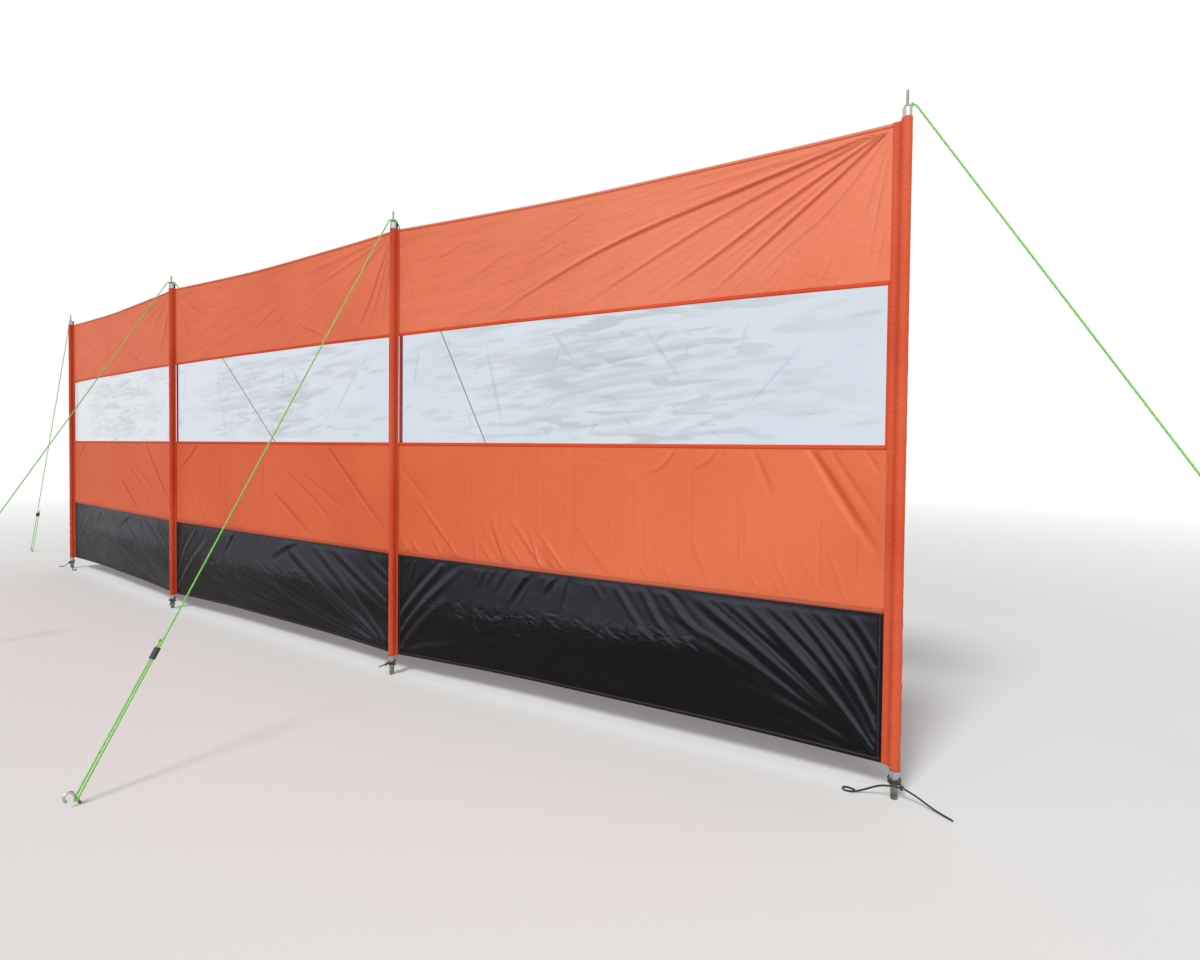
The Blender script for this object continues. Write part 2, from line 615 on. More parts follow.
def crinkles(centre_line, count):
    """Small crumples scattered along a line of the mud wall."""
    spots = []
    for i in range(count):
        share = chance.random()
        x = centre_line[0][0] + (centre_line[1][0] - centre_line[0][0]) * share
        z = centre_line[0][1] + (centre_line[1][1] - centre_line[0][1]) * share + chance.gauss(0, 15)
        length, slope = chance.uniform(24, 70), chance.uniform(-0.8, 0.0)
        line = ((x, z), (x + length, z + length * slope))
        spots.append((line, chance.uniform(3.5, 5.5), chance.uniform(0.2, 0.6)))
    return spots


bay_folds = {}
for bay, folds in BAY_FOLDS.items():
    low, middle, window, top = (list(part) for part in folds)
    middle += seam_puckers(400, 1, count=56, reach=160, lean=0.7, width=8.5, height=1.7)
    middle += seam_puckers(400, 1, count=60, reach=80, lean=0.5, width=6, height=1.3)
    middle += seam_puckers(771, -1, count=50, reach=56, lean=0.25, width=5.5, height=0.9)
    middle += upright_creases(count=12)
    top += seam_puckers(1123, 1, count=30, reach=46, lean=-0.5, width=6, height=1.0)
    low += crinkles(((-1270, 238), (-480, 266)), count=80)
    low += seam_puckers(400, -1, count=34, reach=90, lean=0.5, width=8, height=0.8)
    bay_folds[bay] = (low, middle, window, top)


def eased(route):
    """A fold's line with its corners cut, so that it curves."""
    route = np.array(route, float) * MM
    for _ in range(2):
        if len(route) > 2:
            near, far = route[:-1] * 0.75 + route[1:] * 0.25, route[:-1] * 0.25 + route[1:] * 0.75
            route = np.vstack([route[:1], np.stack([near, far], 1).reshape(-1, 2)[1:-1], route[-1:]])
    return route


def nearest_on(route, x, z):
    """How far points are to the side of a fold's line, and how far along it, from 0 to 1."""
    route = eased(route)
    runs = np.diff(route, axis=0)
    lengths = np.hypot(*runs.T)
    before = gone_along(route)
    nearest = np.full(x.shape, np.inf)
    side, share = np.zeros(x.shape), np.zeros(x.shape)
    for start, run, length, gone in zip(route, runs, lengths, before):
        dx, dz = x - start[0], z - start[1]
        part = np.clip((dx * run[0] + dz * run[1]) / length**2, 0, 1)
        away = np.hypot(dx - part * run[0], dz - part * run[1])
        closer = away < nearest
        nearest = np.where(closer, away, nearest)
        side = np.where(closer, np.sign(run[0] * dz - run[1] * dx) * away, side)
        share = np.where(closer, (gone + part * length) / before[-1], share)
    return side, share


def bell(away, reach):
    """One in the middle, falling off smoothly to both sides."""
    return np.exp(-((away / reach) ** 2))


def drape(bay, x, z):
    """How far the cloth stands to the front at points of a bay, and how sharply it is creased there."""
    left, right_end = BAY_ENDS[bay]
    lift, crease, crest = (np.zeros(x.shape) for _ in range(3))
    for number, folds in enumerate(bay_folds[bay]):
        low, high = SEAMS[number], SEAMS[number + 1]
        inside = (z >= low - 1e-6) & (z <= high + 1e-6)
        if not inside.any():
            continue
        px, pz = x[inside], z[inside]
        band_lift, band_crease, band_crest = (np.zeros(px.shape) for _ in range(3))
        for route, width, height in folds:
            side, share = nearest_on(route, px, pz)
            wide = width * MM * (0.75 + 0.25 * smooth_step(share / 0.4))
            size = smooth_step(share / 0.05) * (1 - smooth_step((share - 0.5) / 0.5)) ** 0.6
            ridge = bell(side, wide)
            hollow = bell(side - 1.5 * wide, 1.1 * wide)
            swell = bell(side + 2.2 * wide, 3.4 * wide)
            band_lift += height * MM * size * (ridge - 0.7 * hollow + 0.45 * swell)
            strong = size * min(1.0, height / 3.0)
            band_crease = np.maximum(band_crease, strong * bell(side - 0.75 * wide, 0.6 * wide))
            band_crest = np.maximum(band_crest, strong * bell(side + 0.35 * wide, 0.7 * wide))
        edge = smooth_step((pz - low - SEAM_FLAT) / FOLD_EASE)
        edge *= smooth_step((high - pz - SEAM_FLAT) / FOLD_EASE)
        lift[inside] += band_lift * edge
        crease[inside] = band_crease * (0.3 + 0.7 * edge)
        crest[inside] = band_crest * edge * (1 - band_crease)
    run = np.clip((x - left) / (right_end - left), 0, 1)
    between_poles = np.sin(pi * run)
    wall = np.clip((z - CLOTH_FOOT) / (WALL_TOP - CLOTH_FOOT), 0, 1)
    over, under = (1 - wall) / (1 - BELLY_SHARE), wall / BELLY_SHARE
    belly = -np.log(np.exp(-BELLY_TURN * over) + np.exp(-BELLY_TURN * under)) / BELLY_TURN
    lift += BELLY * np.maximum(belly, 0) * between_poles**0.5
    rest = np.clip((z - WALL_TOP) / (CLOTH_TOP - WALL_TOP), 0, 1)
    lift -= HOLLOW * np.sin(pi * rest) * between_poles
    lift += SWAY * np.sin(x * SWAY_ALONG + z * SWAY_UP) * between_poles
    by_left, by_right = FLANGES[bay]
    free = smooth_step((x - left - by_left) / SLEEVE_EASE)
    free *= smooth_step((right_end - by_right - x) / SLEEVE_EASE)
    return lift * free, crease * free, crest * free


def on_cloth(bay, x, z, forward=0.0):
    """Points of a bay's cloth for places on its flat cut, and the creases there."""
    left, right_end = BAY_ENDS[bay]
    run = (x - left) / (right_end - left)
    lift, crease, crest = drape(bay, x, z)
    bow = np.interp(z, SEAMS, SEAM_BOWS) * 4 * run * (1 - run)
    return put(bay_places[bay], np.stack([x, CLOTH_MIDDLE - lift - forward, z + bow], 1)), crease, crest


def cloth_patch(bm, bay, x_ends, z_ends, cell, forward=0.0):
    """A rectangle of the bay's cloth, or of a strip that lies on it."""
    columns = max(1, round((x_ends[1] - x_ends[0]) / cell))
    rows = max(1, round((z_ends[1] - z_ends[0]) / cell))
    floats = bm.verts.layers.float
    layers = [floats.get(name) or floats.new(name) for name in ("crease", "crest")]
    marks = []

    def shape(u, v):
        x = x_ends[0] + (x_ends[1] - x_ends[0]) * u
        z = z_ends[0] + (z_ends[1] - z_ends[0]) * v
        spots, *found = on_cloth(bay, x, z, forward)
        marks.extend(zip(*found))
        return spots

    for vert, found in zip(grid_sheet(bm, columns, rows, shape), marks):
        for layer, mark in zip(layers, found):
            vert[layer] = mark
    return bm


# The orange bands: thin coated polyester, sewn to the sleeves at their ends.
# Light comes through the upper ones, so they are paler than the lower ones.
upper_finish = cloth_finish(
    "upper_polyester", (0.75, 0.198, 0.108), (0.81, 0.238, 0.137), (0.47, 0.075, 0.033), 0.56, 0.8,
    crumpled=(0.5, 1, 0.9))
lower_finish = cloth_finish(
    "lower_polyester", (0.68, 0.150, 0.064), (0.74, 0.180, 0.082), (0.47, 0.075, 0.028), 0.56, 0.9,
    crumpled=(0.9, 1, 0.6))


def add_band(bay, kind, finish, slot, number, cell):
    """One band of a bay's cloth between two seams, kept with its flat size for its sheet."""
    low, high = SEAMS[number], SEAMS[number + 1]
    bm = cloth_patch(bmesh.new(), bay, BAY_ENDS[bay], (low, high), cell)
    bmesh.ops.triangulate(bm, faces=bm.faces, quad_method="SHORT_EDGE")
    made = add_piece(bm, f"{kind}_cloth_{bay}", finish, slot, f"{kind}_{bay}")
    return made


def flat_places(made, bay):
    """Where the points of a piece are in its bay: along it to the right, and up."""
    back_to_bay = bay_places[bay].inverted()
    spots = np.array([back_to_bay @ vert.co for vert in made.data.vertices])
    return spots[:, 0], spots[:, 2]


def mark_pull(made, bay, corner_height, strength):
    """Note each point's angle about the bay's pulled corner, its distance and its drag lines' strength."""
    x, z = flat_places(made, bay)
    dx, dz = BAY_ENDS[bay][1] - FLANGES[bay][1] - x, z - corner_height
    reach = np.hypot(dx, dz)
    fading = strength * smooth_step((reach - 0.04) / 0.4) * (1 + 0.8 * smooth_step((reach - 0.6) / 0.6))
    pull = made.data.attributes.new("pull", "FLOAT_VECTOR", "POINT")
    pull.data.foreach_set("vector", np.stack([np.arctan2(dz, dx), reach, fading], 1).ravel())


BAY_POLES = {
    "right": ["pole_right_end", "pole_right_inner"],
    "middle": ["pole_right_inner", "pole_left_inner"],
    "left": ["pole_left_inner", "pole_left_end"],
}
for bay in BAY_POLES:
    for kind, finish, number in (("lower_band", lower_finish, 1), ("upper_band", upper_finish, 3)):
        made = add_band(bay, kind, finish, "orange_cloth", number, CELL[bay])
        if kind == "upper_band":
            mark_pull(made, bay, CLOTH_TOP, 0.6)


# The mud walls: black coated polyester, which bellies out to the front over the ground gap.
# The coating has a bluish bloom on the slopes that face up, and is darker and duller below.
def mud_wall_finish():
    """Black coating with a bluish bloom on the slopes that face up, scuffed and finely wrinkled."""
    made, tree, shader = material(
        "coated_black", 0.40, Specular_IOR_Level=0.09, Sheen_Weight=0.03, Sheen_Roughness=0.4)
    ragged = spread(tree, noise(tree, 22, 6, distortion=1.2), -0.10, 0.10)
    crinkle = attribute(tree, "crinkle")
    fine = noise(tree, 115, 4, stretch=(0.45, 1, 1), distortion=0.9)
    lit = reckon(tree, "MULTIPLY", spread(tree, fine, -0.34, 0.5, 0.36, 0.68), crinkle)
    shaded = reckon(tree, "ADD", attribute(tree, "bloom"), ragged)
    rise = reckon(tree, "ADD", shaded, lit, clamp=True)
    cloth = ramp(tree, rise, (0.0, (0.0052, 0.0049, 0.0053)), (0.5, (0.0185, 0.0188, 0.0245)),
                 (1.0, (0.040, 0.042, 0.056)))
    scuffs = ramp(tree, noise(tree, 60, 6, stretch=(0.5, 1, 1.4)), (0.58, (0, 0, 0)), (0.8, (1, 1, 1)))
    scuffed = reckon(tree, "MULTIPLY", scuffs, 0.12)
    colour = mix(tree, scuffed, cloth, (0.034, 0.035, 0.042, 1))
    rough = spread(tree, noise(tree, 14, 4), 0.34, 0.52)
    wrinkles = bump(tree, noise(tree, 30, 4, distortion=1.5), 0.004, 0.3)
    crumple = reckon(tree, "MULTIPLY", fine, crinkle)
    crumpled = drag_lines(tree, bump(tree, crumple, 0.01, 0.7, under=wrinkles))
    threads = bump(tree, weave(tree, 1.1 * MM), 0.0002, 0.25, under=crumpled)
    connect(tree, shader, Base_Color=colour, Roughness=rough, Normal=threads)
    return made


CRINKLE_LINE = ((-1.40, -0.30), (0.246, 0.274))
CRINKLE_REACH = 0.028
CRINKLE_STARTS, CRINKLE_STOPS = -1.44, -0.34
BLOOM_STARTS, BLOOM_RUN = -0.035, 0.21


def carry(made, name, values):
    """Let a piece's points carry a value each."""
    made.data.attributes.new(name, "FLOAT", "POINT").data.foreach_set("value", values)


black_coating = mud_wall_finish()
for bay in BAY_POLES:
    made = add_band(bay, "mud_wall", black_coating, "black_cloth", 0, WALL_CELL[bay])
    slopes = np.array([vert.normal.z for vert in made.data.vertices])
    carry(made, "bloom", smooth_step((slopes - BLOOM_STARTS) / BLOOM_RUN))
    x, z = flat_places(made, bay)
    off_line = z - np.interp(x, *CRINKLE_LINE)
    along = smooth_step((x - CRINKLE_STARTS) / 0.15) * smooth_step((CRINKLE_STOPS - x) / 0.25)
    carry(made, "crinkle", bell(off_line, CRINKLE_REACH) * along)
    mark_pull(made, bay, CLOTH_FOOT, 0.7)


# The windows: clear flexible sheet, sewn between the orange bands. It is faintly blue,
# and long storage has left lens-shaped ripples, mostly level, and a few straight fold marks.
RIPPLE_COUNT, SMALL_MARK_COUNT = 120, 14
LONG_MARKS = (
    ((-1395, 1085), (-1420, 950)),
    ((-330, 870), (-205, 1010)),
    ((-520, 800), (-400, 840)),
    ((-900, 1100), (-820, 1000)),
    ((-1130, 1080), (-1060, 800)),
    ((-620, 1090), (-500, 930)),
)
STREAKS_MIDDLE, STREAKS_REACH = -0.70, 0.43
WINDOW_FLAT, WINDOW_EASE = 12.0 * MM, 20.0 * MM
ALLOWANCE_WIDTH = 15.0 * MM
EDGE_WIDTH = 5.0 * MM
ripples, fold_marks = {}, {}
for bay in BAY_POLES:
    ripples[bay], fold_marks[bay] = [], []
    for i in range(RIPPLE_COUNT):
        x = min(-70, max(-1440, chance.gauss(-720, 330)))
        z = chance.uniform(792, 1100)
        length = chance.uniform(60, 240) * (1.25 - abs(x + 760) / 1100)
        slope = chance.gauss(0.10, 0.05)
        reach = ((x - length / 2, z - slope * length / 2), (x + length / 2, z + slope * length / 2))
        ripples[bay].append((reach, chance.uniform(5.0, 10.0), chance.uniform(0.5, 1.7)))
    for i in range(SMALL_MARK_COUNT):
        x, z = chance.uniform(-1420, -80), chance.uniform(800, 1090)
        length, lean = chance.uniform(25, 80), chance.uniform(0.3, 2.8)
        far_height = z + length * sin(lean) * chance.choice((-1, 1))
        far = (x + length * cos(lean), min(1105, max(790, far_height)))
        fold_marks[bay].append((((x, z), far), 3.6, 0.7))
    for long_mark in LONG_MARKS:
        fold_marks[bay].append((long_mark, 3.8, 1.0))


def rippled(lines, x, z):
    """The window's ripples or marks: how far they stand forward, and how strongly they catch the light."""
    lift, glint = np.zeros(x.shape), np.zeros(x.shape)
    for reach, width, height in lines:
        side, share = nearest_on(reach, x, z)
        middle = np.clip(1 - (2 * share - 1) ** 2, 0, 1)
        wide = width * MM * (0.35 + 0.65 * middle)
        body = middle**0.7 * bell(side, wide)
        lift += height * MM * body
        glint = np.maximum(glint, body * min(1.0, height / 1.5))
    edge = smooth_step((z - SILL - WINDOW_FLAT) / WINDOW_EASE)
    edge *= smooth_step((LINTEL - WINDOW_FLAT - z) / WINDOW_EASE)
    return lift * edge, glint * edge


clear_finish, tree, shader = material(
    "clear_vinyl", 0.12, IOR=2.1, Specular_IOR_Level=0.5, Coat_Weight=0.4, Coat_Roughness=0.06)
mark = attribute(tree, "mark")
smears = noise(tree, 30, 3, stretch=(0.15, 1, 1), distortion=0.6)
streaked = ramp(tree, smears, (0.53, (0, 0, 0)), (0.60, (1, 1, 1)))
streaks = reckon(tree, "MULTIPLY", streaked, attribute(tree, "zone"))
shine = reckon(tree, "MAXIMUM", attribute(tree, "glint"), streaks)
tint = ramp(tree, shine, (0.0, (0.04, 0.21, 0.42)), (0.35, (0.10, 0.20, 0.32)), (1.0, (0.26, 0.32, 0.40)))
hairlines = noise(tree, 300, 2, stretch=(0.04, 1, 1))
scratches = ramp(tree, hairlines, (0.70, (0, 0, 0)), (0.76, (0.16, 0.16, 0.16)))
hazy = spread(tree, noise(tree, 5, 4), -0.05, 0.08)
veiled = reckon(tree, "ADD", spread(tree, shine, 0.37, 0.70), hazy)
veiled = reckon(tree, "ADD", veiled, scratches, clamp=True)
veiled = reckon(tree, "ADD", veiled, mark, clamp=True)
waves = noise(tree, 18, 4, stretch=(0.35, 1, 1), distortion=0.8)
connect(tree, shader, Base_Color=mix(tree, mark, tint, (0.80, 0.83, 0.86, 1)),
        Alpha=reckon(tree, "MULTIPLY", veiled, attribute(tree, "clear")),
        Normal=bump(tree, waves, 0.004, 0.3))
for bay in BAY_POLES:
    bm = cloth_patch(bmesh.new(), bay, BAY_ENDS[bay], (SILL, LINTEL), CELL[bay])
    made = add_piece(bm, f"window_sheet_{bay}", clear_finish, "clear_window", f"window_{bay}")
    x, z = flat_places(made, bay)
    left, right_end = BAY_ENDS[bay]
    by_left, by_right = FLANGES[bay]
    from_poles = dict(zip(BAY_POLES[bay], (right_end - by_right - x, x - left - by_left)))
    by_inner = np.min([away for pole, away in from_poles.items() if pole.endswith("inner")], axis=0)
    free = smooth_step(np.min(list(from_poles.values()), axis=0) / 0.03)
    lift, glints = rippled(ripples[bay], x, z)
    crack_lift, cracks = rippled(fold_marks[bay], x, z)
    forward = bay_places[bay].to_3x3() @ Vector((0, -1, 0))
    for vert, rise in zip(made.data.vertices, (lift + crack_lift) * free):
        vert.co += forward * rise
    carry(made, "glint", 0.6 * glints * free)
    carry(made, "zone", 0.9 * bell(x - STREAKS_MIDDLE, STREAKS_REACH) * free)
    carry(made, "mark", 0.55 * cracks * free)
    carry(made, "clear", np.where(by_inner < ALLOWANCE_WIDTH, 0.25, 1.0))


# The seams: bright bindings along the windows' edges, a flat felled seam under the orange,
# turned hems round the mud wall and along the top, and cloth edges sewn to the windows' ends.
STRIP_THICKNESS = 0.5 * MM
STRIP_FORWARD = 0.8 * MM
STRIP_CELL = 6.0 * MM
HEM_WIDTH, TOP_HEM_WIDTH = 11.0 * MM, 8.0 * MM
BINDING_WIDTH, FELLED_WIDTH, STRIP_LAP = 9.0 * MM, 10.0 * MM, 1.0 * MM
SLEEVE_TUCK = 0.6 * MM
binding_finish = cloth_finish(
    "binding_tape", (0.68, 0.062, 0.018), (0.80, 0.095, 0.030), (0.5, 0.04, 0.012), 0.5, 0.4)
seam_finish = cloth_finish(
    "felled_seam", (0.50, 0.105, 0.046), (0.58, 0.138, 0.064), (0.4, 0.07, 0.03), 0.55, 0.4)
allowance_finish = cloth_finish(
    "sewn_edge", (0.30, 0.022, 0.008), (0.38, 0.034, 0.012), (0.2, 0.015, 0.005), 0.55, 0.4)
hem_finish = cloth_finish(
    "black_hem", (0.006, 0.006, 0.007), (0.012, 0.012, 0.015), (0.004, 0.004, 0.005), 0.5, 0.4, specular=0.12)


def free_ends(bay):
    """The ends of a bay's cloth between its sleeves' edges."""
    left, right_end = BAY_ENDS[bay]
    by_left, by_right = FLANGES[bay]
    return left + by_left - SLEEVE_TUCK, right_end - by_right + SLEEVE_TUCK


def strips(bay, name, finish, slot, patches, faces=(1, -1)):
    """Strips that lie on a bay's cloth, on its front and back, each between two ends and two heights."""
    bm = bmesh.new()
    for x_ends, z_ends in patches:
        for face in faces:
            cloth_patch(bm, bay, x_ends, z_ends, STRIP_CELL, forward=face * STRIP_FORWARD)
    return add_piece(bm, name, finish, slot, thickness=STRIP_THICKNESS)


sewn_on = {}
for bay in BAY_POLES:
    across = free_ends(bay)
    wall, window = (CLOTH_FOOT, WALL_TOP - STRIP_LAP), (SILL, LINTEL)
    under_window = (SILL - BINDING_WIDTH, SILL + STRIP_LAP)
    over_window = (LINTEL - STRIP_LAP, LINTEL + BINDING_WIDTH)
    binding = strips(bay, f"window_binding_{bay}", binding_finish, "sleeve_cloth",
                     [(across, under_window), (across, over_window)])
    felled = strips(bay, f"felled_seam_{bay}", seam_finish, "orange_cloth",
                    [(across, (WALL_TOP - STRIP_LAP, WALL_TOP + FELLED_WIDTH))])
    top_hem = strips(bay, f"top_hem_{bay}", upper_finish, "orange_cloth",
                     [(across, (CLOTH_TOP - TOP_HEM_WIDTH, CLOTH_TOP))])
    hem_sides = [(across[0], across[0] + HEM_WIDTH), (across[1] - HEM_WIDTH, across[1])]
    wall_hem = strips(bay, f"wall_hem_{bay}", hem_finish, "black_cloth",
                      [(across, (CLOTH_FOOT, CLOTH_FOOT + HEM_WIDTH)), *((side, wall) for side in hem_sides)])
    sewn_on["window", bay] = [binding]
    sewn_on["lower_band", bay] = [felled]
    sewn_on["upper_band", bay] = [top_hem]
    sewn_on["mud_wall", bay] = [wall_hem]
    for pole, start, inward in zip(BAY_POLES[bay], reversed(across), (-1, 1)):
        if pole.endswith("inner"):
            kind, finish, width, face = "window_allowance", allowance_finish, ALLOWANCE_WIDTH, -1
        else:
            kind, finish, width, face = "window_edge", binding_finish, EDGE_WIDTH, 1
        reach = sorted((start, start + inward * width))
        name = pole.replace("pole", kind) + f"_{bay}"
        edge = strips(bay, name, finish, "sleeve_cloth", [(reach, window)], faces=(face,))
        sewn_on["window", bay].append(edge)


# The stitching: twin rows along each binding and the felled seam, single rows in the hems and sleeves.
# The thread is orange on the orange cloth, and purple round the black.
STITCH_PITCH = 6.0 * MM
STITCH_SHARE = 0.68
STITCH_WIDTH, STITCH_THICKNESS = 0.9 * MM, 0.5 * MM
STITCH_FORWARD = STRIP_FORWARD + 0.4 * MM
BINDING_ROWS = (1.6 * MM, 7.0 * MM)
FELLED_ROWS = (1.4 * MM, 7.8 * MM)
TOP_ROW, HEM_ROW = 6.0 * MM, 8.0 * MM
SLEEVE_ROWS_AT = {
    "right_end": (-23.6, -14.4),
    "right_inner": (-15.2, 15.2),
    "left_inner": (-15.2, 15.2),
    "left_end": (23.6, 14.4),
}


def thread(name, dark, light):
    """Sewing thread, with its plies a little lighter and darker."""
    made, tree, shader = material(name, 0.6, Sheen_Weight=0.1)
    connect(tree, shader, Base_Color=ramp(tree, noise(tree, 700, 2), (0.3, dark), (0.7, light)))
    return made


orange_thread = thread("orange_thread", (0.42, 0.06, 0.018), (0.62, 0.13, 0.05))
purple_thread = thread("purple_thread", (0.12, 0.035, 0.05), (0.22, 0.07, 0.08))


def stitch_row(bm, spots, out):
    """One row of short stitches along points that stand a pitch apart, each a low ridge of thread."""
    spots, out = np.array(spots), np.array(out)
    along = np.diff(spots, axis=0)
    across = np.cross(along, out)
    across /= np.linalg.norm(across, axis=1)[:, None]
    last = 2 * len(along) - 1
    rows = []

    def shape(u, v):
        row = np.rint(v * last).astype(int)
        rows.extend(row)
        share = (1 - STITCH_SHARE) / 2 + STITCH_SHARE * (row % 2)
        middle = spots[row // 2] + along[row // 2] * share[:, None]
        aside = across[row // 2] * (STITCH_WIDTH * (u - 0.5))[:, None]
        return middle + aside + out * (STITCH_THICKNESS * (1 - np.abs(2 * u - 1)))[:, None]

    row_of = dict(zip(grid_sheet(bm, 2, last, shape), rows))
    faces = {face for vert in row_of for face in vert.link_faces}
    gaps = [face for face in faces if min(row_of[vert] for vert in face.verts) % 2]
    bmesh.ops.delete(bm, geom=gaps, context="FACES")


def bay_stitches(bay, kind, finish, slot, rows):
    """Rows of stitches on a bay's front and back, each given as its places on the flat cut."""
    bm = bmesh.new()
    out = bay_places[bay].to_3x3() @ Vector((0, -1, 0))
    for x, z in rows:
        for face in (1, -1):
            spots, *_ = on_cloth(bay, x, z, forward=face * STITCH_FORWARD)
            stitch_row(bm, spots, out * face)
    return add_piece(bm, f"{kind}_{bay}", finish, slot)


for bay in BAY_POLES:
    across = free_ends(bay)
    x = np.arange(across[0], across[1], STITCH_PITCH)
    levels = [SILL - row for row in reversed(BINDING_ROWS)]
    levels += [LINTEL + row for row in BINDING_ROWS]
    levels += [CLOTH_TOP - TOP_ROW]
    orange_rows = [(x, np.full(x.shape, level)) for level in levels]
    stitches = bay_stitches(bay, "orange_stitches", orange_thread, "orange_cloth", orange_rows)
    sewn_on["upper_band", bay].append(stitches)
    z = np.arange(CLOTH_FOOT + HEM_ROW, WALL_TOP, STITCH_PITCH)
    sides = (across[0] + HEM_ROW, across[1] - HEM_ROW)
    levels = [CLOTH_FOOT + HEM_ROW] + [WALL_TOP + row for row in FELLED_ROWS]
    purple_rows = [(x, np.full(x.shape, level)) for level in levels]
    purple_rows += [(np.full(z.shape, side), z) for side in sides]
    stitches = bay_stitches(bay, "hem_stitches", purple_thread, "black_cloth", purple_rows)
    sewn_on["mud_wall", bay].append(stitches)
# Each band is stretched between its two poles, and carries the strips and stitches sewn to it.
for pole, offsets in SLEEVE_ROWS_AT.items():
    bm = bmesh.new()
    z = np.arange(SLEEVE_LOW + STITCH_PITCH, SLEEVE_HIGH, STITCH_PITCH)
    y = np.full(z.shape, FRONT_FLANGE * MM - STRIP_FORWARD)
    out = pole_places[pole].to_3x3() @ Vector((0, -1, 0))
    for offset in offsets:
        line = np.stack([np.full(z.shape, offset * MM), y, z], 1)
        stitch_row(bm, put(pole_places[pole], line), out)
    stitches = add_piece(bm, f"sleeve_stitches_{pole}", orange_thread, "sleeve_cloth")
    made, flat = sleeves[pole]


# The top tabs: black webbing sewn behind the cloth, bent forward over the tube's end.
# A rolled steel eyelet in each nose lets the pin through, and the guys' eyes lie on it.
TAB_HALF = 7.5
TAB_THICKNESS = 1.6
TUBE_TOP = 1493.0
TAB_LEG_LOW = 1441.0
TAB_FRONTS = {"right_end": 12.2, "right_inner": 11.462, "left_inner": 11.462, "left_end": 12.2}
TAB_BEND = 2.3
TAB_STEPS = 14
webbing, tree, shader = material("black_webbing", 0.75, Specular_IOR_Level=0.25, Sheen_Weight=0.25)
picks = ribs(tree, 1.6 * MM, "Z")
ribbed = ramp(tree, picks, (0.2, (0.010, 0.010, 0.011)), (0.8, (0.030, 0.030, 0.033)))
connect(tree, shader, Base_Color=ribbed, Normal=bump(tree, picks, 0.0004, 0.7))


def tab(pole):
    """One tab: a ribbed strap with a bend over the tube's end and a round nose."""
    middle = TAB_FRONTS[pole] + TAB_THICKNESS / 2
    top = TUBE_TOP + TAB_THICKNESS / 2
    y, z = middle - TAB_BEND, top - TAB_BEND
    turn = [(y + TAB_BEND * cos(radians(a)), z + TAB_BEND * sin(radians(a))) for a in range(0, 91, 15)]
    leg = [(middle, TAB_LEG_LOW + (z - TAB_LEG_LOW) * i / TAB_STEPS) for i in range(TAB_STEPS)]
    over = [(place, top) for place in np.linspace(y, -TAB_HALF, TAB_STEPS)[1:]]
    line = np.array(leg + turn + over)
    last = len(line) - 1

    def shape(u, v):
        spot = line[np.rint(v * last).astype(int)]
        nose = np.sqrt(np.clip(1 - (np.minimum(spot[:, 0], 0) / (TAB_HALF + 0.15)) ** 2, 0.02, 1))
        x = (2 * u - 1) * TAB_HALF * nose
        return put(pole_places[pole], np.stack([x, spot[:, 0], spot[:, 1]], 1) * MM)

    bm = bmesh.new()
    grid_sheet(bm, 8, last, shape)
    made = add_piece(bm, f"webbing_tab_{pole}", webbing, "black_webbing", f"top_tab_{pole}",
                     thickness=(TAB_THICKNESS - 0.1) * MM)


EYELET_RADIUS, EYELET_WIRE = 4.6, 1.0
EYELET_FLATNESS = 0.45
eyelet_steel, tree, shader = material("eyelet_steel", 0.3, metallic=1.0)
dulled = ramp(tree, noise(tree, 500, 3), (0.3, (0.38, 0.38, 0.37)), (0.7, (0.60, 0.60, 0.58)))
connect(tree, shader, Base_Color=dulled)


def join(bm, part):
    """Add a finished part to a piece's mesh."""
    mesh = bpy.data.meshes.new("part")
    part.to_mesh(mesh)
    part.free()
    bm.from_mesh(mesh)
    bpy.data.meshes.remove(mesh)


def ring(bm, place, radius, wire, steps=28, sides=10):
    """A plain ring of round wire."""
    part = bmesh.new()
    section = Matrix.Translation((radius, 0, 0)) @ Matrix.Rotation(pi / 2, 4, "X")
    bmesh.ops.create_circle(part, segments=sides, radius=wire, matrix=section)
    bmesh.ops.spin(part, geom=part.verts[:] + part.edges[:], cent=(0, 0, 0), axis=(0, 0, 1),
                   angle=2 * pi, steps=steps, use_merge=True)
    bmesh.ops.remove_doubles(part, verts=part.verts, dist=1e-7)
    bmesh.ops.recalc_face_normals(part, faces=part.faces)
    bmesh.ops.transform(part, matrix=place, verts=part.verts)
    join(bm, part)


eyelets = bmesh.new()
for pole in POLES:
    tab(pole)
    rim = pole_places[pole] @ Vector((0, 0, (TUBE_TOP + TAB_THICKNESS) * MM))
    flattened = Matrix.Translation(rim) @ Matrix.Scale(EYELET_FLATNESS, 4, (0, 0, 1))
    ring(eyelets, flattened, EYELET_RADIUS * MM, EYELET_WIRE * MM)
add_piece(eyelets, "tab_eyelets", eyelet_steel, "pole_steel")


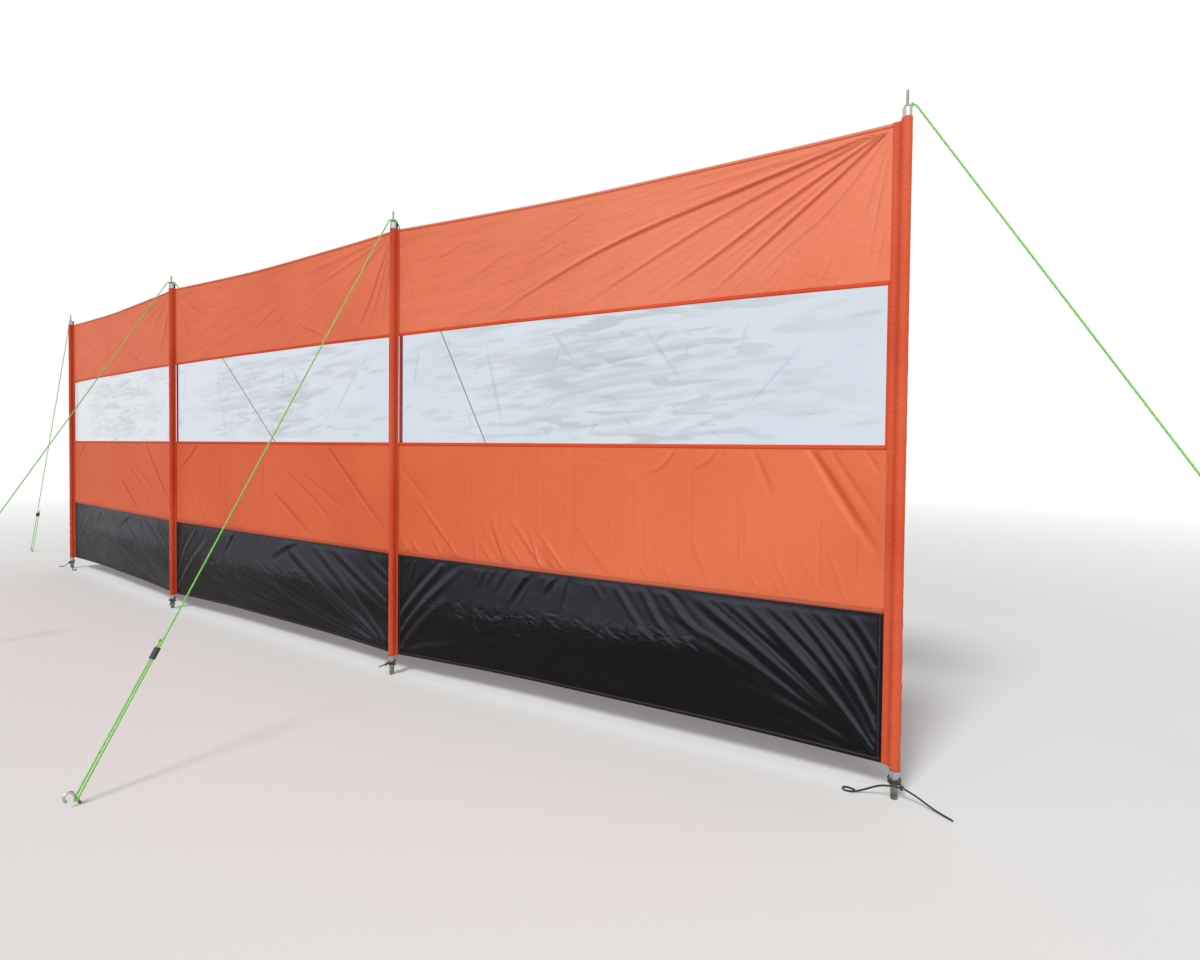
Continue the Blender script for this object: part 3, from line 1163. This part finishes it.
# The guys: bright green laid cord, 4 mm thick, with a knotted eye over the pin, a straight run to the peg,
# a half turn under its hook, and the end brought back through a two-hole runner to a stopper knot.
ROPE = 2.0
ROPE_EASE = 0.3
PIN_RADIUS = 2.75
TAB_TOP = TUBE_TOP + TAB_THICKNESS
PEG_RADIUS, PEG_LEAN = 2.5, radians(25)
CATCH_HEIGHT = 14.0
RUNNER_PLACE, RUNNER_LENGTH, STOPPER_PAST = 300.0, 26.0, 16.0
ROPE_STEP, EYE_STEP = 4.0, 1.4
ROPE_LAY, KNOT_LAY = 15.0, 9.0
OVER_EDGE = 15.8
EYE_SLACK = 0.45
EYE_KNOT, EYE_KNOT_RISE = 9.4, 0.6
GUYS = {
    "right_end": ("right_end", 0.0, 900.0, 0),
    "right_front": ("right_inner", -90.0, 830.0, 0),
    "right_back": ("right_inner", 90.0, 950.0, 1),
    "left_front": ("left_inner", -90.0, 830.0, 0),
    "left_back": ("left_inner", 90.0, 950.0, 1),
    "left_end": ("left_end", 180.0, 900.0, 0),
}


def placed(place, route):
    """Points given in a place's own millimetres, in the row's frame."""
    return [place @ (Vector(spot) * MM) for spot in route]


def smooth_curve(name, route, resolution, cyclic=False):
    """A smooth spline that has the route's points as its control points."""
    curve = bpy.data.curves.new(name, "CURVE")
    curve.dimensions = "3D"
    spline = curve.splines.new("NURBS")
    spline.points.add(len(route) - 1)
    for point, spot in zip(spline.points, route):
        point.co = (*spot, 1)
    spline.order_u = 3
    spline.use_endpoint_u = not cyclic
    spline.use_cyclic_u = cyclic
    curve.resolution_u = resolution
    return curve


def spline_line(route, resolution, cyclic=False):
    """Points along a route's smooth spline."""
    curve = smooth_curve("route", route, resolution, cyclic)
    holder = bpy.data.objects.new("route", curve)
    mesh = bpy.data.meshes.new_from_object(holder)
    line = np.array([vert.co for vert in mesh.vertices])
    bpy.data.objects.remove(holder)
    bpy.data.curves.remove(curve)
    bpy.data.meshes.remove(mesh)
    return np.vstack([line, line[:1]]) if cyclic else line


def laid_rope(bm, line, radius, step, lay, sides=12, strands=3, depth=0.1):
    """A rope along a line, whose strands wind round it as low ridges, with closed ends."""
    gone = gone_along(line)
    rows = max(4, round(gone[-1] / step))
    reach = np.linspace(0, gone[-1], rows + 1)
    line = np.stack([np.interp(reach, gone, line[:, i]) for i in range(3)], 1)
    along = np.gradient(line, axis=0)
    along /= np.linalg.norm(along, axis=1)[:, None]
    side = np.cross(along[0], (0.31, 0.17, 0.93))
    sides_way = []
    for way in along:
        side = side - way * (side @ way)
        side = side / np.linalg.norm(side)
        sides_way.append(side)
    first = np.array(sides_way)
    second = np.cross(along, first)

    def shape(u, v):
        index = np.rint(v * rows).astype(int)
        turn = 2 * pi * u
        wide = radius * (1 - depth + depth * np.cos(strands * turn - 2 * pi * reach[index] / lay))
        out = np.cos(turn)[:, None] * first[index] + np.sin(turn)[:, None] * second[index]
        return line[index] + wide[:, None] * out

    tube = bmesh.new()
    grid_sheet(tube, sides, rows, shape)
    bmesh.ops.remove_doubles(tube, verts=tube.verts, dist=radius * 1e-3)
    bmesh.ops.holes_fill(tube, edges=[edge for edge in tube.edges if edge.is_boundary], sides=0)
    bmesh.ops.recalc_face_normals(tube, faces=tube.faces)
    join(bm, tube)


def knot(bm, centre, along, size, radius, lay):
    """A tight overhand knot of a rope, drawn up round its own line."""
    along = Vector(along).normalized()
    turn = along.to_track_quat("Z", "X").to_matrix()
    route = []
    for i in range(24):
        t = 2 * pi * i / 24
        flat = Vector((sin(t) + 2 * sin(2 * t), cos(t) - 2 * cos(2 * t), -1.5 * sin(3 * t)))
        route.append(Vector(centre) + turn @ (flat * size))
    laid_rope(bm, spline_line(route, 6, cyclic=True), radius, radius * 0.8, lay, sides=10)


green_cord, tree, shader = material("green_cord", 0.55, Specular_IOR_Level=0.3, Sheen_Weight=0.2)
flecked = ramp(tree, noise(tree, 420, 3), (0.30, (0.13, 0.45, 0.06)), (0.55, (0.24, 0.70, 0.12)),
               (0.75, (0.42, 0.86, 0.25)))
connect(tree, shader, Base_Color=flecked, Normal=bump(tree, noise(tree, 1500, 2), 0.0004, 0.5))


def guy(name, pole, turn, reach, level):
    """One guy's rope, with its eye and knots."""
    place = pole_places[pole] @ Matrix.Rotation(radians(turn), 4, "Z")
    eye_height = TAB_TOP + ROPE_EASE + ROPE + level * (2 * ROPE + ROPE_EASE)
    over_edge = Vector((OVER_EDGE, 0, eye_height))
    lean = Vector((sin(PEG_LEAN), 0, cos(PEG_LEAN)))
    catch = Vector((reach, 0, 0)) + lean * (CATCH_HEIGHT / lean.z)
    uphill = (over_edge - catch).normalized()
    side = Vector((0, 1, 0))
    turn_radius = (PEG_RADIUS + ROPE + ROPE_EASE) / abs(lean.dot(uphill.cross(side)))
    apart = turn_radius * (1 - RUNNER_PLACE / (over_edge - catch).length)
    stop = catch + uphill * (RUNNER_PLACE + RUNNER_LENGTH / 2 + STOPPER_PAST) - side * apart
    eye_turn = PIN_RADIUS + ROPE_EASE + ROPE + EYE_SLACK
    loop = [Vector((eye_turn * cos(a), eye_turn * sin(a), eye_height)) for a in np.arange(8) * pi / 4]
    aside = side * turn_radius
    hitch = ((80, 0.95), (16, 1.0), (0, 1.0), (-turn_radius, 1.0))
    run = [Vector((7.2, 0, eye_height)), Vector((12.5, 0, eye_height)), over_edge]
    run += [over_edge - uphill * 12, over_edge - uphill * 40]
    run += [catch + uphill * above + aside * share for above, share in hitch]
    run += [catch + uphill * above - aside * share for above, share in reversed(hitch)]
    run.append(stop)
    bm = bmesh.new()
    for route, step, cyclic in ((loop, EYE_STEP, True), (run, ROPE_STEP, False)):
        line = spline_line(placed(place, route), 16, cyclic)
        laid_rope(bm, line, ROPE * MM, step * MM, ROPE_LAY * MM)
    out = place.to_3x3() @ Vector((1, 0, 0))
    eye_knot = Vector((EYE_KNOT, 0, eye_height + EYE_KNOT_RISE))
    knot(bm, place @ (eye_knot * MM), out, 1.15 * MM, 1.35 * MM, KNOT_LAY * MM)
    knot(bm, place @ (stop * MM), place.to_3x3() @ uphill, 1.3 * MM, 1.5 * MM, KNOT_LAY * MM)
    add_piece(bm, f"guy_cord_{name}", green_cord, "green_rope", f"guy_{name}")


for name, (pole, turn, reach, rank) in GUYS.items():
    guy(name, pole, turn, reach, rank)


# The pegs and runners: pegs of bent plated wire, and black moulded runners with two holes.
# Both stay as their solids are; the pegs are scuffed and soiled where they enter the ground.
peg_wire, tree, shader = material("peg_wire", 0.36, metallic=1.0)
scuffs = noise(tree, 260, 4)
clean = ramp(tree, scuffs, (0.3, (0.42, 0.42, 0.41)), (0.7, (0.66, 0.66, 0.64)))
soiled = mix(tree, height_share(tree, 0.0, 0.02), (0.13, 0.12, 0.09, 1), clean)
connect(tree, shader, Base_Color=soiled, Roughness=spread(tree, scuffs, 0.28, 0.5))
runner_plastic, tree, shader = material("runner_plastic", 0.42)
grain = noise(tree, 900, 3)
moulded = ramp(tree, grain, (0.3, (0.012, 0.012, 0.012)), (0.7, (0.03, 0.03, 0.031)))
connect(tree, shader, Base_Color=moulded, Normal=bump(tree, grain, 0.0002, 0.3))
refinish("guy_runners", runner_plastic)
for name in GUYS:
    refinish(f"peg_{name}", peg_wire)


# The ties: black braided cord wound twice round each pole under its sleeve, crossed in front and knotted.
# An inner tie's ends are cut short; an end tie has two free tails, one doubled back on itself.
TIE = 2.0
TIE_LOW, TIE_RISE = 33.0, 12.0
WRAP = 9.5 + 0.3 + TIE
KNOT_REACH = WRAP + TIE + 0.3 + 4.5
KNOT_TURN = radians(36)
TIE_LAY, TIE_STEP = 11.0, 1.6
SHORT_END = 22.0
SHORT_END_TURNS = (160.0, 215.0)
SHORT_END_DROP = 9.0
SHORT_END_ARCH = ((0.2, 0.0), (0.45, 1.5), (0.75, 1.0), (1.0, 0.0))
INNER_TAIL = ((-3.0, -16.2, 34.0), (-17.0, -16.4, 32.6), (-32.0, -15.6, 27.0), (-46.0, -14.6, 18.6),
              (-60.0, -14.4, 10.4), (-73.0, -16.0, 4.6), (-83.0, -18.8, 2.3), (-91.5, -21.5, 2.2),
              (-100.2, -20.2, 2.2), (-103.4, -13.0, 2.2), (-100.2, -5.8, 2.2), (-91.5, -4.5, 2.2),
              (-84.0, -6.8, 2.2), (-78.0, -8.4, 2.2))
OUTER_TAIL = ((19.7, -11.4, 31.5), (33.0, -12.9, 27.0), (49.0, -13.6, 19.4), (65.0, -15.8, 11.0),
              (81.0, -20.0, 4.8), (96.0, -26.5, 2.3), (109.0, -36.0, 2.2))

black_braid, tree, shader = material("black_braid", 0.7, Specular_IOR_Level=0.3, Sheen_Weight=0.3)
plaits = noise(tree, 520, 3)
dyed = ramp(tree, plaits, (0.3, (0.007, 0.007, 0.008)), (0.7, (0.026, 0.026, 0.028)))
connect(tree, shader, Base_Color=dyed, Normal=bump(tree, plaits, 0.0006, 0.6))


def short_end(knotted, turn):
    """The route of a cut end, which droops out of the knot."""
    away = Vector((-cos(radians(turn)), sin(radians(turn)), 0)) * SHORT_END
    away.z -= SHORT_END_DROP
    return [knotted + away * share + Vector((0, 0, arch)) for share, arch in SHORT_END_ARCH]


def tie(pole, flip, short_ends):
    """One tie: two turns that cross in front of the pole, a knot beside the crossing, and any short ends."""
    place = pole_places[pole] @ Matrix.Scale(flip, 4, (1, 0, 0))
    route = []
    for i in range(48):
        t = 4 * pi * i / 48
        lifted = WRAP + 0.5 + (2 * TIE + 0.2) * bell(t - pi, 0.55)
        z = TIE_LOW + TIE_RISE / 2 * (1 + cos(t / 2))
        route.append((lifted * sin(t), lifted * cos(t), z))
    lines = [spline_line(placed(place, route), 6, cyclic=True)]
    centre = Vector((cos(KNOT_TURN) * KNOT_REACH, -sin(KNOT_TURN) * KNOT_REACH, TIE_LOW))
    out = Vector((cos(KNOT_TURN), -sin(KNOT_TURN), 0))
    if short_ends:
        ends = [short_end(centre, turn) for turn in SHORT_END_TURNS]
    else:
        ends = [[centre, Vector((8.0, -17.0, 34.5)), Vector((2.0, -16.6, 34.4)), Vector(INNER_TAIL[0])]]
    lines += [spline_line(placed(place, end), 8) for end in ends]
    bm = bmesh.new()
    for line in lines:
        laid_rope(bm, line, TIE * MM, TIE_STEP * MM, TIE_LAY * MM)
    knot(bm, place @ (centre * MM), place.to_3x3() @ out, 1.4 * MM, 1.9 * MM, TIE_LAY * MM)
    bmesh.ops.recalc_face_normals(bm, faces=bm.faces)
    add_piece(bm, f"tie_cord_{pole}", black_braid, "black_cord", f"tie_{pole}")


def tail(pole, name, route, flip):
    """One free tail of a tie, lying down along the ground."""
    place = pole_places[pole] @ Matrix.Scale(flip, 4, (1, 0, 0))
    spots = placed(place, route)
    curve = smooth_curve(f"tie_{name}_{pole}", spots, 12)
    curve.bevel_depth = TIE * MM
    curve.bevel_resolution = 3
    curve.use_fill_caps = True
    made = bpy.data.objects.new(f"tie_{name}_{pole}", curve)
    curve.materials.append(black_braid)
    scene.collection.objects.link(made)
    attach(made, "root")
    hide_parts(f"tie_{pole}_{name}")


for pole, flip in zip(POLES, (1, -1, 1, -1)):
    tie(pole, flip, pole.endswith("inner"))
for pole, flip in (("right_end", 1), ("left_end", -1)):
    tail(pole, "inner_tail", INNER_TAIL, flip)
    tail(pole, "outer_tail", OUTER_TAIL, flip)
